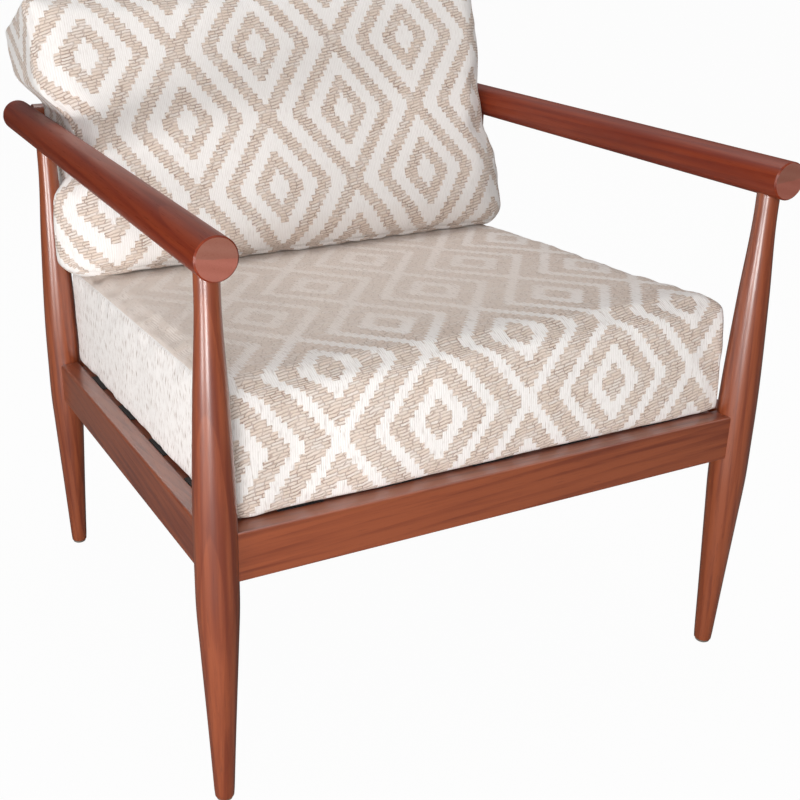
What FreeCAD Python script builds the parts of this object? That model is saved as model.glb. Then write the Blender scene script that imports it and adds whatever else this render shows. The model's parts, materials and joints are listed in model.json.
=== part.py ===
import FreeCAD, Part
import math
import os

# Open-arm easy chair: four turned legs, two round laminated arms, a raked seat frame
# with black webbing, a reclined spindle back, and two loose boxed cushions.
# Millimetres. +Z is up, the sitter faces -Y, +X is the right arm seen from the front.
# The origin is on the floor, in the middle of the chair's plan.

V = FreeCAD.Vector
X_AXIS = V(1, 0, 0)
Y_AXIS = V(0, 1, 0)
Z_AXIS = V(0, 0, 1)

# Plan and heights of the frame
leg_spacing_x = 640.0
leg_spacing_y = 568.0
arm_axis_height = 585.0
front_rail_top = 312.0
seat_drop = 32.0
back_recline_deg = 22.5

# Turned legs: diameters, how far the straight belly passes the rails, and shares of each taper
leg_foot_diameter = 20.5
leg_shin_share = 0.38
leg_shin_diameter = 28.6
leg_calf_share = 0.8
leg_calf_diameter = 38.2
leg_belly_diameter = 42.6
leg_belly_above_rail = 6.0
leg_belly_below_tenon = 4.0
leg_thigh_share = 0.58
leg_thigh_diameter = 33.4
leg_neck_diameter = 24.0
leg_neck_length = 40.0
leg_tenon_diameter = 16.0
leg_tenon_root = 30.0
leg_taper_rings = 5

# Felt glides under the legs
glide_height = 3.0
glide_diameter = 17.0

# Round arms, each glued up from an upper and a lower half
arm_diameter = 41.0
arm_front_overhang = 26.0
arm_rear_overhang = 154.0
arm_end_chamfer = 1.5

# Seat rails
rail_thickness = 24.0
rail_height = 53.0
rail_edge_round = 2.5
front_rail_proud = 11.0
side_rail_proud = 9.0
rail_tenon_thickness = 10.0
rail_tenon_height = 36.0
rail_tenon_past_axis = 7.0
side_tenon_gap = 4.0

# Cleats glued inside the rails
cleat_width = 16.0
cleat_height = 20.0
cleat_end_gap = 2.0

# Elastic webbing, woven over and under
strap_width = 50.0
strap_thickness = 2.0
strap_lift = 1.2
strap_run = 12.0
strap_sink = 2.5
long_strap_count = 5
long_strap_pitch = 112.0
cross_strap_count = 4
cross_strap_pitch = 118.0
strap_end_gap = 1.0

# Spindle back
crossbar_diameter = 36.0
crossbar_tenon_diameter = 18.0
crossbar_tenon_length = 14.0
spindle_count = 6
spindle_pitch = 88.0
spindle_end_diameter = 13.0
spindle_belly_diameter = 16.0
spindle_belly_share = 0.45
spindle_tenon_length = 14.0

# Seat cushion, in the raked plane of the seat
seat_side_gap = 0.7
seat_cushion_setback = 6.0
seat_rear_gap = 2.0
seat_boxing = 122.0
seat_crown = 14.0
seat_crown_run = 90.0
seat_corner = 24.0
seat_foot_round = 8.0
seat_seam_inset = 7.0
seat_side_draw = 4.0

# Back cushion, in the reclined plane of the back
back_side_gap = 1.0
back_shoulder_reach = 25.5
back_tuck = 45.0
back_cushion_above = 121.0
back_step_above = 17.0
back_shoulder_above = 48.0
back_boxing = 126.0
back_crown_front = 26.0
back_crown_rear = 14.0
back_crown_run = 85.0
back_corner = 32.0
back_seam_inset = 7.0

# Wadding under the covers, and the seat cover's zip
wadding = 12.0
crown_steps = 2
zip_length = 440.0
zip_tape_width = 28.0
zip_tape_thickness = 0.8
zip_chain_width = 6.0
zip_chain_height = 1.4
zip_slider_length = 12.0
zip_slider_width = 9.0
zip_slider_height = 3.2
zip_slider_waist = 5.0

# Fits
glue_gap = 0.05
bore_end_gap = 1.0
rest_gap = 0.3
zip_gap = 0.3

# Values worked out from the ones above
leg_x = leg_spacing_x / 2
arm_radius = arm_diameter / 2
recline = math.radians(back_recline_deg)
rake = math.atan2(seat_drop, leg_spacing_y)
crossbar_radius = crossbar_diameter / 2
seat_cushion_width = leg_spacing_x - leg_belly_diameter - 2 * seat_side_gap
back_cushion_width = leg_spacing_x - arm_diameter - 2 * back_side_gap
back_shoulder_width = back_cushion_width + 2 * back_shoulder_reach
back_rear_seam = crossbar_radius + rest_gap + back_crown_rear

front_rail_inner = rail_thickness - front_rail_proud
seat_cushion_front = seat_cushion_setback - front_rail_inner
side_rail_inner = leg_x + side_rail_proud - rail_thickness
rear_rail_top = front_rail_top - math.tan(rake) * (leg_spacing_y + front_rail_proud - front_rail_inner)
rear_rail_middle = leg_spacing_y + front_rail_proud - rail_thickness / 2
seat_run = (leg_spacing_y - 2 * front_rail_inner) / math.cos(rake)
seat_cushion_depth = seat_run - seat_cushion_front - seat_rear_gap
rear_mortise_bottom = rear_rail_top - (rail_height + rail_tenon_height) / 2
leg_belly_start = rear_mortise_bottom - leg_belly_below_tenon
leg_belly_end = front_rail_top + leg_belly_above_rail
leg_neck_start = arm_axis_height - leg_neck_length
rail_run = (arm_axis_height - rear_rail_top) / math.cos(recline)
back_cushion_below = rail_run - (seat_boxing + seat_crown) / math.cos(recline) + back_tuck
crossbar_from_leg = rear_rail_middle + math.tan(recline) * (arm_axis_height - rear_rail_top)

# The middle of the plan lies half way along the arms
arm_length = arm_front_overhang + leg_spacing_y + arm_rear_overhang
front_leg_y = arm_front_overhang - arm_length / 2
rear_leg_y = front_leg_y + leg_spacing_y
crossbar_y = front_leg_y + crossbar_from_leg

# The seat's own frame: origin on the front rail's inner top edge, y running back and down
seat_frame = FreeCAD.Placement(
    V(0, front_leg_y + front_rail_inner, front_rail_top),
    FreeCAD.Rotation(X_AXIS, -math.degrees(rake)),
)
# The back's own frame: origin on the crossbar's axis, y running up the spindles, z to the sitter
back_frame = FreeCAD.Placement(
    V(0, crossbar_y, arm_axis_height),
    FreeCAD.Rotation(X_AXIS, 90 - back_recline_deg),
)


def save(name, shape):
    """Writes one node."""
    shape.exportStep("parts/" + name + ".step")


def in_frame(shape, frame):
    """Moves a shape from a local frame to the chair's frame."""
    moved = shape.copy()
    moved.Placement = frame.multiply(moved.Placement)
    return moved


def block(x_range, y_range, z_range):
    """A box between two values on each axis."""
    size = [high - low for low, high in (x_range, y_range, z_range)]
    return Part.makeBox(size[0], size[1], size[2], V(x_range[0], y_range[0], z_range[0]))


def rod(diameter, start, direction, length):
    """A plain round bar."""
    return Part.makeCylinder(diameter / 2, length, start, direction)


def long_edges(shape, direction, length):
    """The straight edges of a bar that run along its length."""
    found = []
    for edge in shape.Edges:
        along = edge.Vertexes[-1].Point.sub(edge.Vertexes[0].Point)
        if abs(along.dot(direction)) > 0.99 * length:
            found.append(edge)
    return found


def smooth_stations(stations, count):
    """(height, diameter) pairs spread along a smooth curve through the given ones."""
    outline = Part.BSplineCurve()
    outline.interpolate([V(diameter, 0, height) for height, diameter in stations])
    return [(point.z, point.x) for point in outline.discretize(Number=count)]


def turning(stations):
    """A turned piece about Z, tapering straight from one (height, diameter) station to the next."""
    rings = []
    for height, diameter in stations:
        circle = Part.Circle(V(0, 0, height), Z_AXIS, diameter / 2)
        rings.append(Part.Wire([circle.toBSpline().toShape()]))
    return Part.makeLoft(rings, True, True)


def leg_turning(x, y):
    """One leg before its joints are cut, up to the arm's axis: straight where the rails and the arm
    meet it, tapered in a smooth curve between."""
    lower_run = leg_belly_start - glide_height
    upper_run = leg_neck_start - leg_belly_end
    lower = smooth_stations([
        (glide_height, leg_foot_diameter),
        (glide_height + leg_shin_share * lower_run, leg_shin_diameter),
        (glide_height + leg_calf_share * lower_run, leg_calf_diameter),
        (leg_belly_start, leg_belly_diameter),
    ], leg_taper_rings)
    upper = smooth_stations([
        (leg_belly_end, leg_belly_diameter),
        (leg_belly_end + leg_thigh_share * upper_run, leg_thigh_diameter),
        (leg_neck_start, leg_neck_diameter),
    ], leg_taper_rings)
    belly = rod(leg_belly_diameter, V(0, 0, leg_belly_start), Z_AXIS, leg_belly_end - leg_belly_start)
    neck = rod(leg_neck_diameter, V(0, 0, leg_neck_start), Z_AXIS, arm_axis_height - leg_neck_start)
    shape = fused([turning(lower), belly, turning(upper), neck])
    shape.translate(V(x, y, 0))
    return shape


def arm_bar(side):
    """One whole round arm, before it is split at its glue line."""
    bar = rod(arm_diameter, V(side * leg_x, -arm_length / 2, arm_axis_height), Y_AXIS, arm_length)
    rims = [edge for edge in bar.Edges if edge.Closed]
    return bar.makeChamfer(arm_end_chamfer, rims)


def leg_tenon(x, y, gap):
    """The round tenon on top of a leg, or its bore where gap is given."""
    base = arm_axis_height - arm_radius - leg_tenon_root
    top = arm_axis_height - 2 * bore_end_gap
    if gap:
        top += bore_end_gap
    return rod(leg_tenon_diameter + 2 * gap, V(x, y, base), Z_AXIS, top - base)


def crossbar_tenon(side, gap):
    """The round tenon at one end of the crossbar, or its bore where gap is given."""
    reach = arm_radius + crossbar_tenon_length
    if gap:
        reach += bore_end_gap
    start = V(side * (leg_x - 2 * arm_radius), crossbar_y, arm_axis_height)
    return rod(crossbar_tenon_diameter + 2 * gap, start, X_AXIS * side, reach)


def rail_bar(length):
    """A rail along X from the origin, top face at z 0, outer face at y 0, inner face behind it."""
    bar = block((0, length), (0, rail_thickness), (-rail_height, 0))
    return bar.makeFillet(rail_edge_round, long_edges(bar, X_AXIS, length))


def rail_tenon(start, end, middle, gap):
    """A flat tenon along X inside a rail's height, or its mortise where gap is given."""
    half = rail_tenon_thickness / 2 + gap
    centre = -rail_height / 2
    tall = rail_tenon_height / 2 + gap
    return block((start, end), (middle - half, middle + half), (centre - tall, centre + tall))


def cross_rail(outer_y, inward, top, gap):
    """A front or rear rail's bar, with its two tenons apart. inward is +1 or -1 along Y."""
    frame = FreeCAD.Placement(V(-leg_x, outer_y, top), FreeCAD.Rotation())
    bar = rail_bar(leg_spacing_x)
    tenons = []
    for start, end in (
        (-rail_tenon_past_axis - gap, leg_belly_diameter),
        (leg_spacing_x - leg_belly_diameter, leg_spacing_x + rail_tenon_past_axis + gap),
    ):
        tenons.append(rail_tenon(start, end, front_rail_proud, gap))
    if inward < 0:
        bar = bar.mirror(V(0, 0, 0), Y_AXIS)
        tenons = [tenon.mirror(V(0, 0, 0), Y_AXIS) for tenon in tenons]
    return in_frame(bar, frame), [in_frame(tenon, frame) for tenon in tenons]


def side_rail(side, gap):
    """A raked side rail's bar, with its two stub tenons apart."""
    run = leg_spacing_y / math.cos(rake)
    bar = rail_bar(run)
    stub = rail_tenon_thickness / 2 + side_tenon_gap - gap
    tenons = []
    for start, end in ((stub, leg_belly_diameter), (run - leg_belly_diameter, run - stub)):
        tenons.append(rail_tenon(start, end, side_rail_proud, gap))
    turn = FreeCAD.Rotation(Z_AXIS, 90)
    top = front_rail_top + math.tan(rake) * front_rail_inner
    place = FreeCAD.Placement(V(0, front_leg_y, top), FreeCAD.Rotation(X_AXIS, -math.degrees(rake)))
    place = place.multiply(FreeCAD.Placement(V(leg_x + side_rail_proud, 0, 0), turn))
    shapes = [in_frame(shape, place) for shape in [bar] + tenons]
    if side < 0:
        shapes = [shape.mirror(V(0, 0, 0), X_AXIS) for shape in shapes]
    return shapes[0], shapes[1:]


def fused(shapes):
    """One solid from pieces that overlap or touch."""
    whole = shapes[0]
    if len(shapes) > 1:
        whole = whole.fuse(shapes[1:])
    return whole.removeSplitter()


def strap(length, crossings, first_side):
    """A webbing strap along X on z 0, lifted over and sunk under at each crossing."""
    flat = strap_width / 2 + strap_run / 6
    levels = [(0, 0)]
    for index, centre in enumerate(crossings):
        level = strap_lift * first_side * (-1) ** index
        if index == 0:
            levels.append((centre - flat - strap_run, 0))
        levels.append((centre - flat, level))
        levels.append((centre + flat, level))
    levels.append((crossings[-1] + flat + strap_run, 0))
    levels.append((length, 0))
    half = strap_thickness / 2
    top = [V(run, 0, level + half) for run, level in levels]
    bottom = [V(run, 0, level - half) for run, level in reversed(levels)]
    ribbon = Part.Face(Part.makePolygon(top + bottom + top[:1])).extrude(V(0, strap_width, 0))
    ribbon.translate(V(0, -strap_width / 2, 0))
    return ribbon


def closed_outline(points, corners, draws, level):
    """A closed wire at one level. Each point is a corner of the given radius, sharp where it is 0,
    and the side after it bows inwards by its draw. The points run anticlockwise."""
    count = len(points)
    starts = []
    ends = []
    for index, point in enumerate(points):
        before = V(*points[index - 1], 0).sub(V(*point, 0)).normalize()
        after = V(*points[(index + 1) % count], 0).sub(V(*point, 0)).normalize()
        half_turn = before.getAngle(after) / 2
        reach = corners[index] / math.tan(half_turn)
        here = V(point[0], point[1], level)
        starts.append((here + before * reach, here, half_turn))
        ends.append(here + after * reach)
    edges = []
    for index in range(count):
        start, here, half_turn = starts[index]
        end = ends[index]
        if corners[index]:
            chord_middle = (start + end) * 0.5
            centre_gap = corners[index] / math.sin(half_turn) - corners[index]
            towards = (chord_middle - here).normalize()
            edges.append(Part.Arc(start, here + towards * centre_gap, end).toShape())
        following = starts[(index + 1) % count][0]
        if draws[index]:
            inward = (following - end).cross(Z_AXIS).normalize() * -draws[index]
            edges.append(Part.Arc(end, (end + following) * 0.5 + inward, following).toShape())
        else:
            edges.append(Part.makeLine(end, following))
    return Part.Wire(edges)


def crown_stations(seam, crown, run, inset, steps):
    """(level, inset) pairs that climb from a seam to the top of a crown."""
    shares = [step / steps for step in range(steps + 1)]
    return [(seam + crown * (1 - (1 - share) ** 2), inset + run * share) for share in shares]


def seat_cushion_form():
    """The seat cushion in the seat's frame: boxed sides drawn in at the seam and a crowned top."""
    half = seat_cushion_width / 2
    top = rest_gap + seat_boxing
    stations = [
        (rest_gap, seat_foot_round),
        (rest_gap + seat_foot_round, 0),
        (top - 2 * seat_seam_inset, 0),
    ]
    stations += crown_stations(top, seat_crown, seat_crown_run, seat_seam_inset, crown_steps)
    wires = []
    for level, inset in stations:
        wide = half - inset
        near = seat_cushion_front + inset
        far = seat_cushion_front + seat_cushion_depth - inset
        points = [(-wide, near), (wide, near), (wide, far), (-wide, far)]
        corners = [seat_corner] * 4
        draws = [seat_side_draw, seat_side_draw, 0, seat_side_draw]
        wires.append(closed_outline(points, corners, draws, level))
    return Part.makeLoft(wires, True, True)


def seat_foam_form():
    """The seat's foam slab in the seat's frame, inside the cover and its wadding."""
    half = seat_cushion_width / 2 - wadding
    y_range = (seat_cushion_front + wadding, seat_cushion_front + seat_cushion_depth - wadding)
    return block((-half, half), y_range, (rest_gap + wadding, rest_gap + seat_boxing - wadding))


def back_cushion_form():
    """The back cushion in the back's frame: narrow between the arms, full above them, crowned."""
    narrow = back_cushion_width / 2
    broad = back_shoulder_width / 2
    front_seam = back_rear_seam + back_boxing
    rear = crown_stations(-back_rear_seam, back_crown_rear, back_crown_run, back_seam_inset, 1)
    front = crown_stations(front_seam, back_crown_front, back_crown_run, back_seam_inset, crown_steps)
    stations = [(-level, inset) for level, inset in reversed(rear)]
    stations.append(((back_rear_seam + front_seam) / 2, 0))
    stations += front
    half_high = (back_cushion_above + back_cushion_below) / 2
    centre = (back_cushion_above - back_cushion_below) / 2
    side = [
        (narrow, -back_cushion_below),
        (narrow, back_step_above),
        (broad, back_shoulder_above),
        (broad, back_cushion_above),
    ]
    outline = side + [(-x, y) for x, y in reversed(side)]
    wires = []
    for level, inset in stations:
        share = 1 - inset / half_high
        points = [(x * share, centre + (y - centre) * share) for x, y in outline]
        corners = [0, 0, 0, back_corner, back_corner, 0, 0, 0]
        wires.append(closed_outline(points, corners, [0] * len(points), level))
    return Part.makeLoft(wires, True, True)


def back_foam_form():
    """The back's foam slab in the back's frame, inside the cover and its wadding."""
    half = back_cushion_width / 2 - wadding
    y_range = (-back_cushion_below + wadding, back_cushion_above - wadding)
    return block((-half, half), y_range, (back_rear_seam + wadding, back_rear_seam + back_boxing - wadding))


def above_seat(form, lift):
    """A back cushion's form in the chair's frame, cut flat underneath, lift above its rest on the seat."""
    seat_top = 2 * rest_gap + seat_boxing + seat_crown + lift
    wide = (-back_shoulder_width, back_shoulder_width)
    below = block(wide, (-leg_spacing_y, 2 * leg_spacing_y), (-leg_spacing_y, seat_top))
    return in_frame(form, back_frame).cut(in_frame(below, seat_frame))


def spindle_form():
    """A spindle along the back's y, from its foot in the rear rail to its tip in the crossbar."""
    tip = -crossbar_radius
    belly = -rail_run + spindle_belly_share * (tip + rail_run)
    body = turning([
        (-rail_run - spindle_tenon_length, spindle_end_diameter),
        (-rail_run, spindle_end_diameter),
        (belly, spindle_belly_diameter),
        (tip, spindle_end_diameter),
        (tip + spindle_tenon_length, spindle_end_diameter),
    ])
    return in_frame(body, FreeCAD.Placement(V(0, 0, 0), FreeCAD.Rotation(X_AXIS, -90)))


def spindle_bores():
    """The bores for one spindle along the back's y: in the rear rail, then in the crossbar."""
    bore = spindle_end_diameter + 2 * glue_gap
    deep = spindle_tenon_length + bore_end_gap
    foot = rod(bore, V(0, -rail_run - deep, 0), Y_AXIS, 2 * deep)
    tip = rod(bore, V(0, -crossbar_radius - deep, 0), Y_AXIS, 2 * deep)
    return [foot, tip]


os.makedirs("parts", exist_ok=True)

arms = {side: arm_bar(side) for side in (-1, 1)}
side_names = {-1: "left", 1: "right"}
leg_places = {
    "front_left": V(-leg_x, front_leg_y, 0),
    "front_right": V(leg_x, front_leg_y, 0),
    "rear_left": V(-leg_x, rear_leg_y, 0),
    "rear_right": V(leg_x, rear_leg_y, 0),
}
turnings = {name: leg_turning(place.x, place.y) for name, place in leg_places.items()}
all_turnings = list(turnings.values())

# Rail bars and tenons, then the mortises they need in the legs
front_outer = front_leg_y - front_rail_proud
rear_outer = rear_leg_y + front_rail_proud
front_bar, front_tenons = cross_rail(front_outer, 1, front_rail_top, 0)
rear_bar, rear_tenons = cross_rail(rear_outer, -1, rear_rail_top, 0)
side_bars = {side: side_rail(side, 0) for side in (-1, 1)}
mortises = cross_rail(front_outer, 1, front_rail_top, glue_gap)[1]
mortises += cross_rail(rear_outer, -1, rear_rail_top, glue_gap)[1]
for side in (-1, 1):
    mortises += side_rail(side, glue_gap)[1]

# Legs, and the glides under them as one group
glides = []
for name, place in leg_places.items():
    leg = turnings[name].cut([arms[-1], arms[1]] + mortises)
    save(name + "_leg", fused([leg, leg_tenon(place.x, place.y, 0)]))
    glides.append(rod(glide_diameter, place, Z_AXIS, glide_height))
save("leg_glides", Part.makeCompound(glides))

# Arms, split at the glue line, with bores for the legs and the crossbar
for side, arm in arms.items():
    bores = [leg_tenon(side * leg_x, y, glue_gap) for y in (front_leg_y, rear_leg_y)]
    bores.append(crossbar_tenon(side, glue_gap))
    reach = (-leg_spacing_y * 2, leg_spacing_y * 2)
    upper = block((-leg_spacing_x, leg_spacing_x), reach, (arm_axis_height, arm_axis_height + arm_diameter))
    lower = block((-leg_spacing_x, leg_spacing_x), reach, (arm_axis_height - arm_diameter, arm_axis_height))
    save(side_names[side] + "_arm_upper", arm.common(upper).cut(bores))
    save(side_names[side] + "_arm_lower", arm.common(lower).cut(bores))

# Back: the spindles, and the bores that they need in the rear rail and the crossbar
back_bores = []
for number in range(spindle_count):
    x = (number - (spindle_count - 1) / 2) * spindle_pitch
    place = back_frame.multiply(FreeCAD.Placement(V(x, 0, 0), FreeCAD.Rotation()))
    save("spindle_%d" % (number + 1), in_frame(spindle_form(), place))
    back_bores += [in_frame(bore, place) for bore in spindle_bores()]
crossbar = rod(crossbar_diameter, V(-leg_x, crossbar_y, arm_axis_height), X_AXIS, leg_spacing_x)
crossbar = crossbar.cut([arms[-1], arms[1]])
crossbar = fused([crossbar, crossbar_tenon(-1, 0), crossbar_tenon(1, 0)])
save("back_crossbar", crossbar.cut(back_bores))

# Cleats in the seat's raked plane, then the rails
cleat_top = -strap_sink - strap_thickness / 2
cleat_half = leg_x - leg_belly_diameter / 2 - cleat_end_gap
above_cleats = in_frame(
    block((-leg_spacing_x, leg_spacing_x), (-leg_spacing_y, 2 * leg_spacing_y), (cleat_top, rail_height)),
    seat_frame)
for name, face_y, inward in (
    ("front", front_leg_y + front_rail_inner, 1),
    ("rear", rear_leg_y - front_rail_inner, -1),
):
    far_y = face_y + inward * cleat_width
    local = seat_frame.inverse().multVec(V(0, face_y, front_rail_top))
    top = seat_frame.multVec(V(0, local.y, cleat_top)).z
    bar = block((-cleat_half, cleat_half), sorted((face_y, far_y)), (top - cleat_height, top + cleat_height))
    save(name + "_cleat", bar.cut(above_cleats))
side_start = cleat_width + cleat_end_gap
side_end = seat_run - cleat_width - cleat_end_gap
for side in (-1, 1):
    x_range = sorted((side * side_rail_inner, side * (side_rail_inner - cleat_width)))
    bar = block(x_range, (side_start, side_end), (cleat_top - cleat_height, cleat_top))
    save(side_names[side] + "_cleat", in_frame(bar, seat_frame))

save("front_rail", fused([front_bar.cut(all_turnings)] + front_tenons))
save("rear_rail", fused([rear_bar.cut(all_turnings)] + rear_tenons).cut(back_bores))
for side in (-1, 1):
    bar, tenons = side_bars[side]
    save(side_names[side] + "_rail", fused([bar.cut(all_turnings + [front_bar, rear_bar])] + tenons))

# Webbing: long straps from front to rear, cross straps from side to side
cross_middle = seat_run / 2
long_places = [(index - (long_strap_count - 1) / 2) * long_strap_pitch for index in range(long_strap_count)]
cross_places = [
    cross_middle + (index - (cross_strap_count - 1) / 2) * cross_strap_pitch for index in range(cross_strap_count)]
for number, x in enumerate(long_places, start=1):
    length = seat_run - 2 * strap_end_gap
    ribbon = strap(length, [y - strap_end_gap for y in cross_places], (-1) ** number)
    place = FreeCAD.Placement(V(x, strap_end_gap, -strap_sink), FreeCAD.Rotation(Z_AXIS, 90))
    save("long_strap_%d" % number, in_frame(ribbon, seat_frame.multiply(place)))
for number, y in enumerate(cross_places, start=1):
    half = side_rail_inner - strap_end_gap
    ribbon = strap(2 * half, [x + half for x in long_places], -(-1) ** number)
    place = FreeCAD.Placement(V(-half, y, -strap_sink), FreeCAD.Rotation())
    save("cross_strap_%d" % number, in_frame(ribbon, seat_frame.multiply(place)))

# Seat cushion: cover, foam and the zip along its rear boxing
seat_foam = seat_foam_form()
save("seat_cushion_cover", in_frame(seat_cushion_form().cut(seat_foam), seat_frame))
save("seat_cushion_foam", in_frame(seat_foam, seat_frame))
zip_y = seat_cushion_front + seat_cushion_depth
zip_z = rest_gap + seat_boxing / 2
tape = block(
    (-zip_length / 2, zip_length / 2), (zip_y, zip_y + zip_tape_thickness),
    (zip_z - zip_tape_width / 2, zip_z + zip_tape_width / 2))
chain = block(
    (-zip_length / 2, zip_length / 2), (zip_y, zip_y + zip_tape_thickness + zip_chain_height),
    (zip_z - zip_chain_width / 2, zip_z + zip_chain_width / 2))
save("seat_zip_tape", in_frame(fused([tape, chain]), seat_frame))
slider_low = zip_y + zip_tape_thickness + zip_chain_height + zip_gap
slider_end = zip_length / 2 - zip_slider_length
half_wide = zip_slider_width / 2
half_waist = zip_slider_waist / 2
slider_outline = [
    V(slider_end, slider_low, zip_z - half_wide),
    V(slider_end, slider_low, zip_z + half_wide),
    V(slider_end + zip_slider_length, slider_low, zip_z + half_waist),
    V(slider_end + zip_slider_length, slider_low, zip_z - half_waist),
]
slider = Part.Face(Part.makePolygon(slider_outline + slider_outline[:1])).extrude(V(0, zip_slider_height, 0))
save("seat_zip_slider", in_frame(slider, seat_frame))

# Back cushion: cover and foam
back_foam = above_seat(back_foam_form(), wadding)
save("back_cushion_cover", above_seat(back_cushion_form(), 0).cut(back_foam))
save("back_cushion_foam", back_foam)
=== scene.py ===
import functools
import itertools
import json
import math

import bmesh
import bpy
import numpy as np
from mathutils import Color, Matrix, Vector, noise


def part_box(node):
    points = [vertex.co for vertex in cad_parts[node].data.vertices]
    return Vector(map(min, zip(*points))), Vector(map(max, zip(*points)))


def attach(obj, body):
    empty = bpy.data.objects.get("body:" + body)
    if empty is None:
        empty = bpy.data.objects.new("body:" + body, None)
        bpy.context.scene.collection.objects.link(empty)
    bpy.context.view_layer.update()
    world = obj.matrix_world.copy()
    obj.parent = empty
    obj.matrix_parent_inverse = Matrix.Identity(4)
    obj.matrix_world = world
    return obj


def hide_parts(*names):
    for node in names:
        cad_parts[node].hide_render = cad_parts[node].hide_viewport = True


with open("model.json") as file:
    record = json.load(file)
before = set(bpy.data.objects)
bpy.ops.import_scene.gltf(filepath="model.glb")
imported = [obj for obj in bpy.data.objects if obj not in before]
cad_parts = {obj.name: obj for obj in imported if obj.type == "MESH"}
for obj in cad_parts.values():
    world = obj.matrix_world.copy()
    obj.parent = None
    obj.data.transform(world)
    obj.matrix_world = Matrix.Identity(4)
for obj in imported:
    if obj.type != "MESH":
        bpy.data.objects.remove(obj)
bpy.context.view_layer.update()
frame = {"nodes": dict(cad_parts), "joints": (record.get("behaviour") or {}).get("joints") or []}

bl_info = {
    "name": "Open-arm easy chair",
    "version": (1, 0, 0),
    "blender": (4, 5, 0),
    "location": "3D View > Sidebar > Easy Chair",
    "description": "Dresses the packed chair: turned frame, webbing, two woven cushions and the stage",
    "category": "Object",
}

JOINTS = {joint["name"]: joint for joint in frame["joints"]}
CORNERS = ("front_left", "front_right", "rear_left", "rear_right")
QUARTER = math.pi / 2
# Below this length, two points count as one
TINY = 1e-6


def local_frame(origin, along):
    """A frame whose y runs along the given direction in the chair's side view."""
    y = Vector(along).normalized()
    z = Vector((1, 0, 0)).cross(y)
    turn = Matrix(((1, 0, 0), y, z)).transposed().to_4x4()
    return Matrix.Translation(origin) @ turn


def box_middle(node):
    low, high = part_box(node)
    return (low + high) / 2


RAIL_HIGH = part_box("front_rail")[1]
ARM_LOW, ARM_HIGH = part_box("left_arm_upper")
# Seat: origin on the front rail's inner top edge, y back and down, z up through the cushion
SEAT = local_frame((0, RAIL_HIGH.y, RAIL_HIGH.z), -Vector(JOINTS["seat_cushion_slide"]["axis"]))
# Back: origin on the crossbar's axis, y up the spindles, z towards the sitter
BAR_MIDDLE = box_middle("back_crossbar")
BACK = local_frame((0, BAR_MIDDLE.y, BAR_MIDDLE.z), JOINTS["back_cushion_lift"]["axis"])


def size(default, name, description):
    return bpy.props.FloatProperty(
        name=name, description=description, default=default, unit="LENGTH", precision=4)


def amount(default, name, description):
    return bpy.props.FloatProperty(name=name, description=description, default=default)


def colour(default, name, description):
    return bpy.props.FloatVectorProperty(
        name=name, description=description, default=[part / 255 for part in default],
        subtype="COLOR_GAMMA", size=3, min=0, max=1)


class ChairWood(bpy.types.PropertyGroup):
    """Sizes of the turned frame and the colours of its lacquered wood"""
    foot: size(0.0205, "Foot", "Diameter of a leg at the floor")
    shin: size(0.0286, "Shin", "Diameter of a leg a third of the way to its belly")
    calf: size(0.0382, "Calf", "Diameter of a leg just under its belly")
    belly: size(0.0426, "Belly", "Diameter of a leg where the rails meet it")
    thigh: size(0.0334, "Thigh", "Diameter of a leg half way from the rails to the arm")
    neck: size(0.0240, "Neck", "Diameter of a leg under the arm")
    spindle: size(0.0160, "Spindle", "Diameter of a spindle at its belly")
    spindle_end: size(0.0130, "Spindle end", "Diameter of a spindle at its ends")
    end_chamfer: size(0.0015, "Arm end", "Width of the broken edge at the arms' ends")
    light: colour((146, 72, 38), "Light wood", "Early wood between the darker lines")
    mid: colour((112, 45, 20), "Wood", "Main colour of the lacquered wood")
    dark: colour((70, 23, 9), "Dark wood", "Late wood and pores")
    arm_light: colour((128, 49, 20), "Arm light wood", "Early wood in the arms")
    arm_mid: colour((108, 33, 10), "Arm wood", "Main colour of the arms")
    arm_dark: colour((64, 16, 4), "Arm dark wood", "Dark figure in the arms")
    end_upper: colour((140, 90, 76), "Upper arm end", "End grain of the arms' upper half")
    end_lower: colour((156, 92, 78), "Lower arm end", "End grain of the arms' lower half")
    felt: colour((96, 88, 80), "Felt", "Felt of the glides")


class ChairCloth(bpy.types.PropertyGroup):
    """Sizes and colours of the woven covers and the webbing"""
    half_period: size(0.1100, "Half period", "Half the distance between lozenges in a row")
    half_pitch: size(0.0860, "Half pitch", "Distance from one row of lozenges to the next")
    lozenge: size(0.0670, "Lozenge", "Half width of the outer ring of a lozenge")
    step: size(0.0071667, "Step", "Height of one step along a lozenge's side")
    dash: size(0.0120, "Dash", "Length of one thread on the face of the cloth")
    row: size(0.0036, "Row", "Height of one row of thread")
    white: colour((241, 237, 234), "White yarn", "Pale ground yarn")
    beige: colour((224, 207, 194), "Beige yarn", "Pattern yarn")
    gap: colour((152, 126, 110), "Gap", "Shade between the pattern's threads")
    # Painted sheen: the one flat colour that the seat top's pattern fades to, standing in for light
    # glancing off the cloth
    rubbed: colour((230, 217, 207), "Rubbed yarn", "Ground yarn where the seat has been rubbed")
    webbing: colour((26, 25, 26), "Webbing", "Black elastic webbing")
    tape: colour((205, 194, 182), "Zip tape", "Tape of the seat cover's zip")
    metal: colour((150, 128, 88), "Zip metal", "Teeth and slider of the zip")
    fill: amount(4.0, "Fill", "Pressure that fills the cushions")
    seat_swell: size(0.0140, "Seat swell", "How far the seat cushion's cloth may swell")
    back_swell: size(0.0220, "Back swell", "How far the back cushion's cloth may swell")
    seam: size(0.0022, "Seam", "Depth of a sewn seam")
    pucker: size(0.0026, "Pucker", "Depth of the puckers beside a seam")


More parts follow.
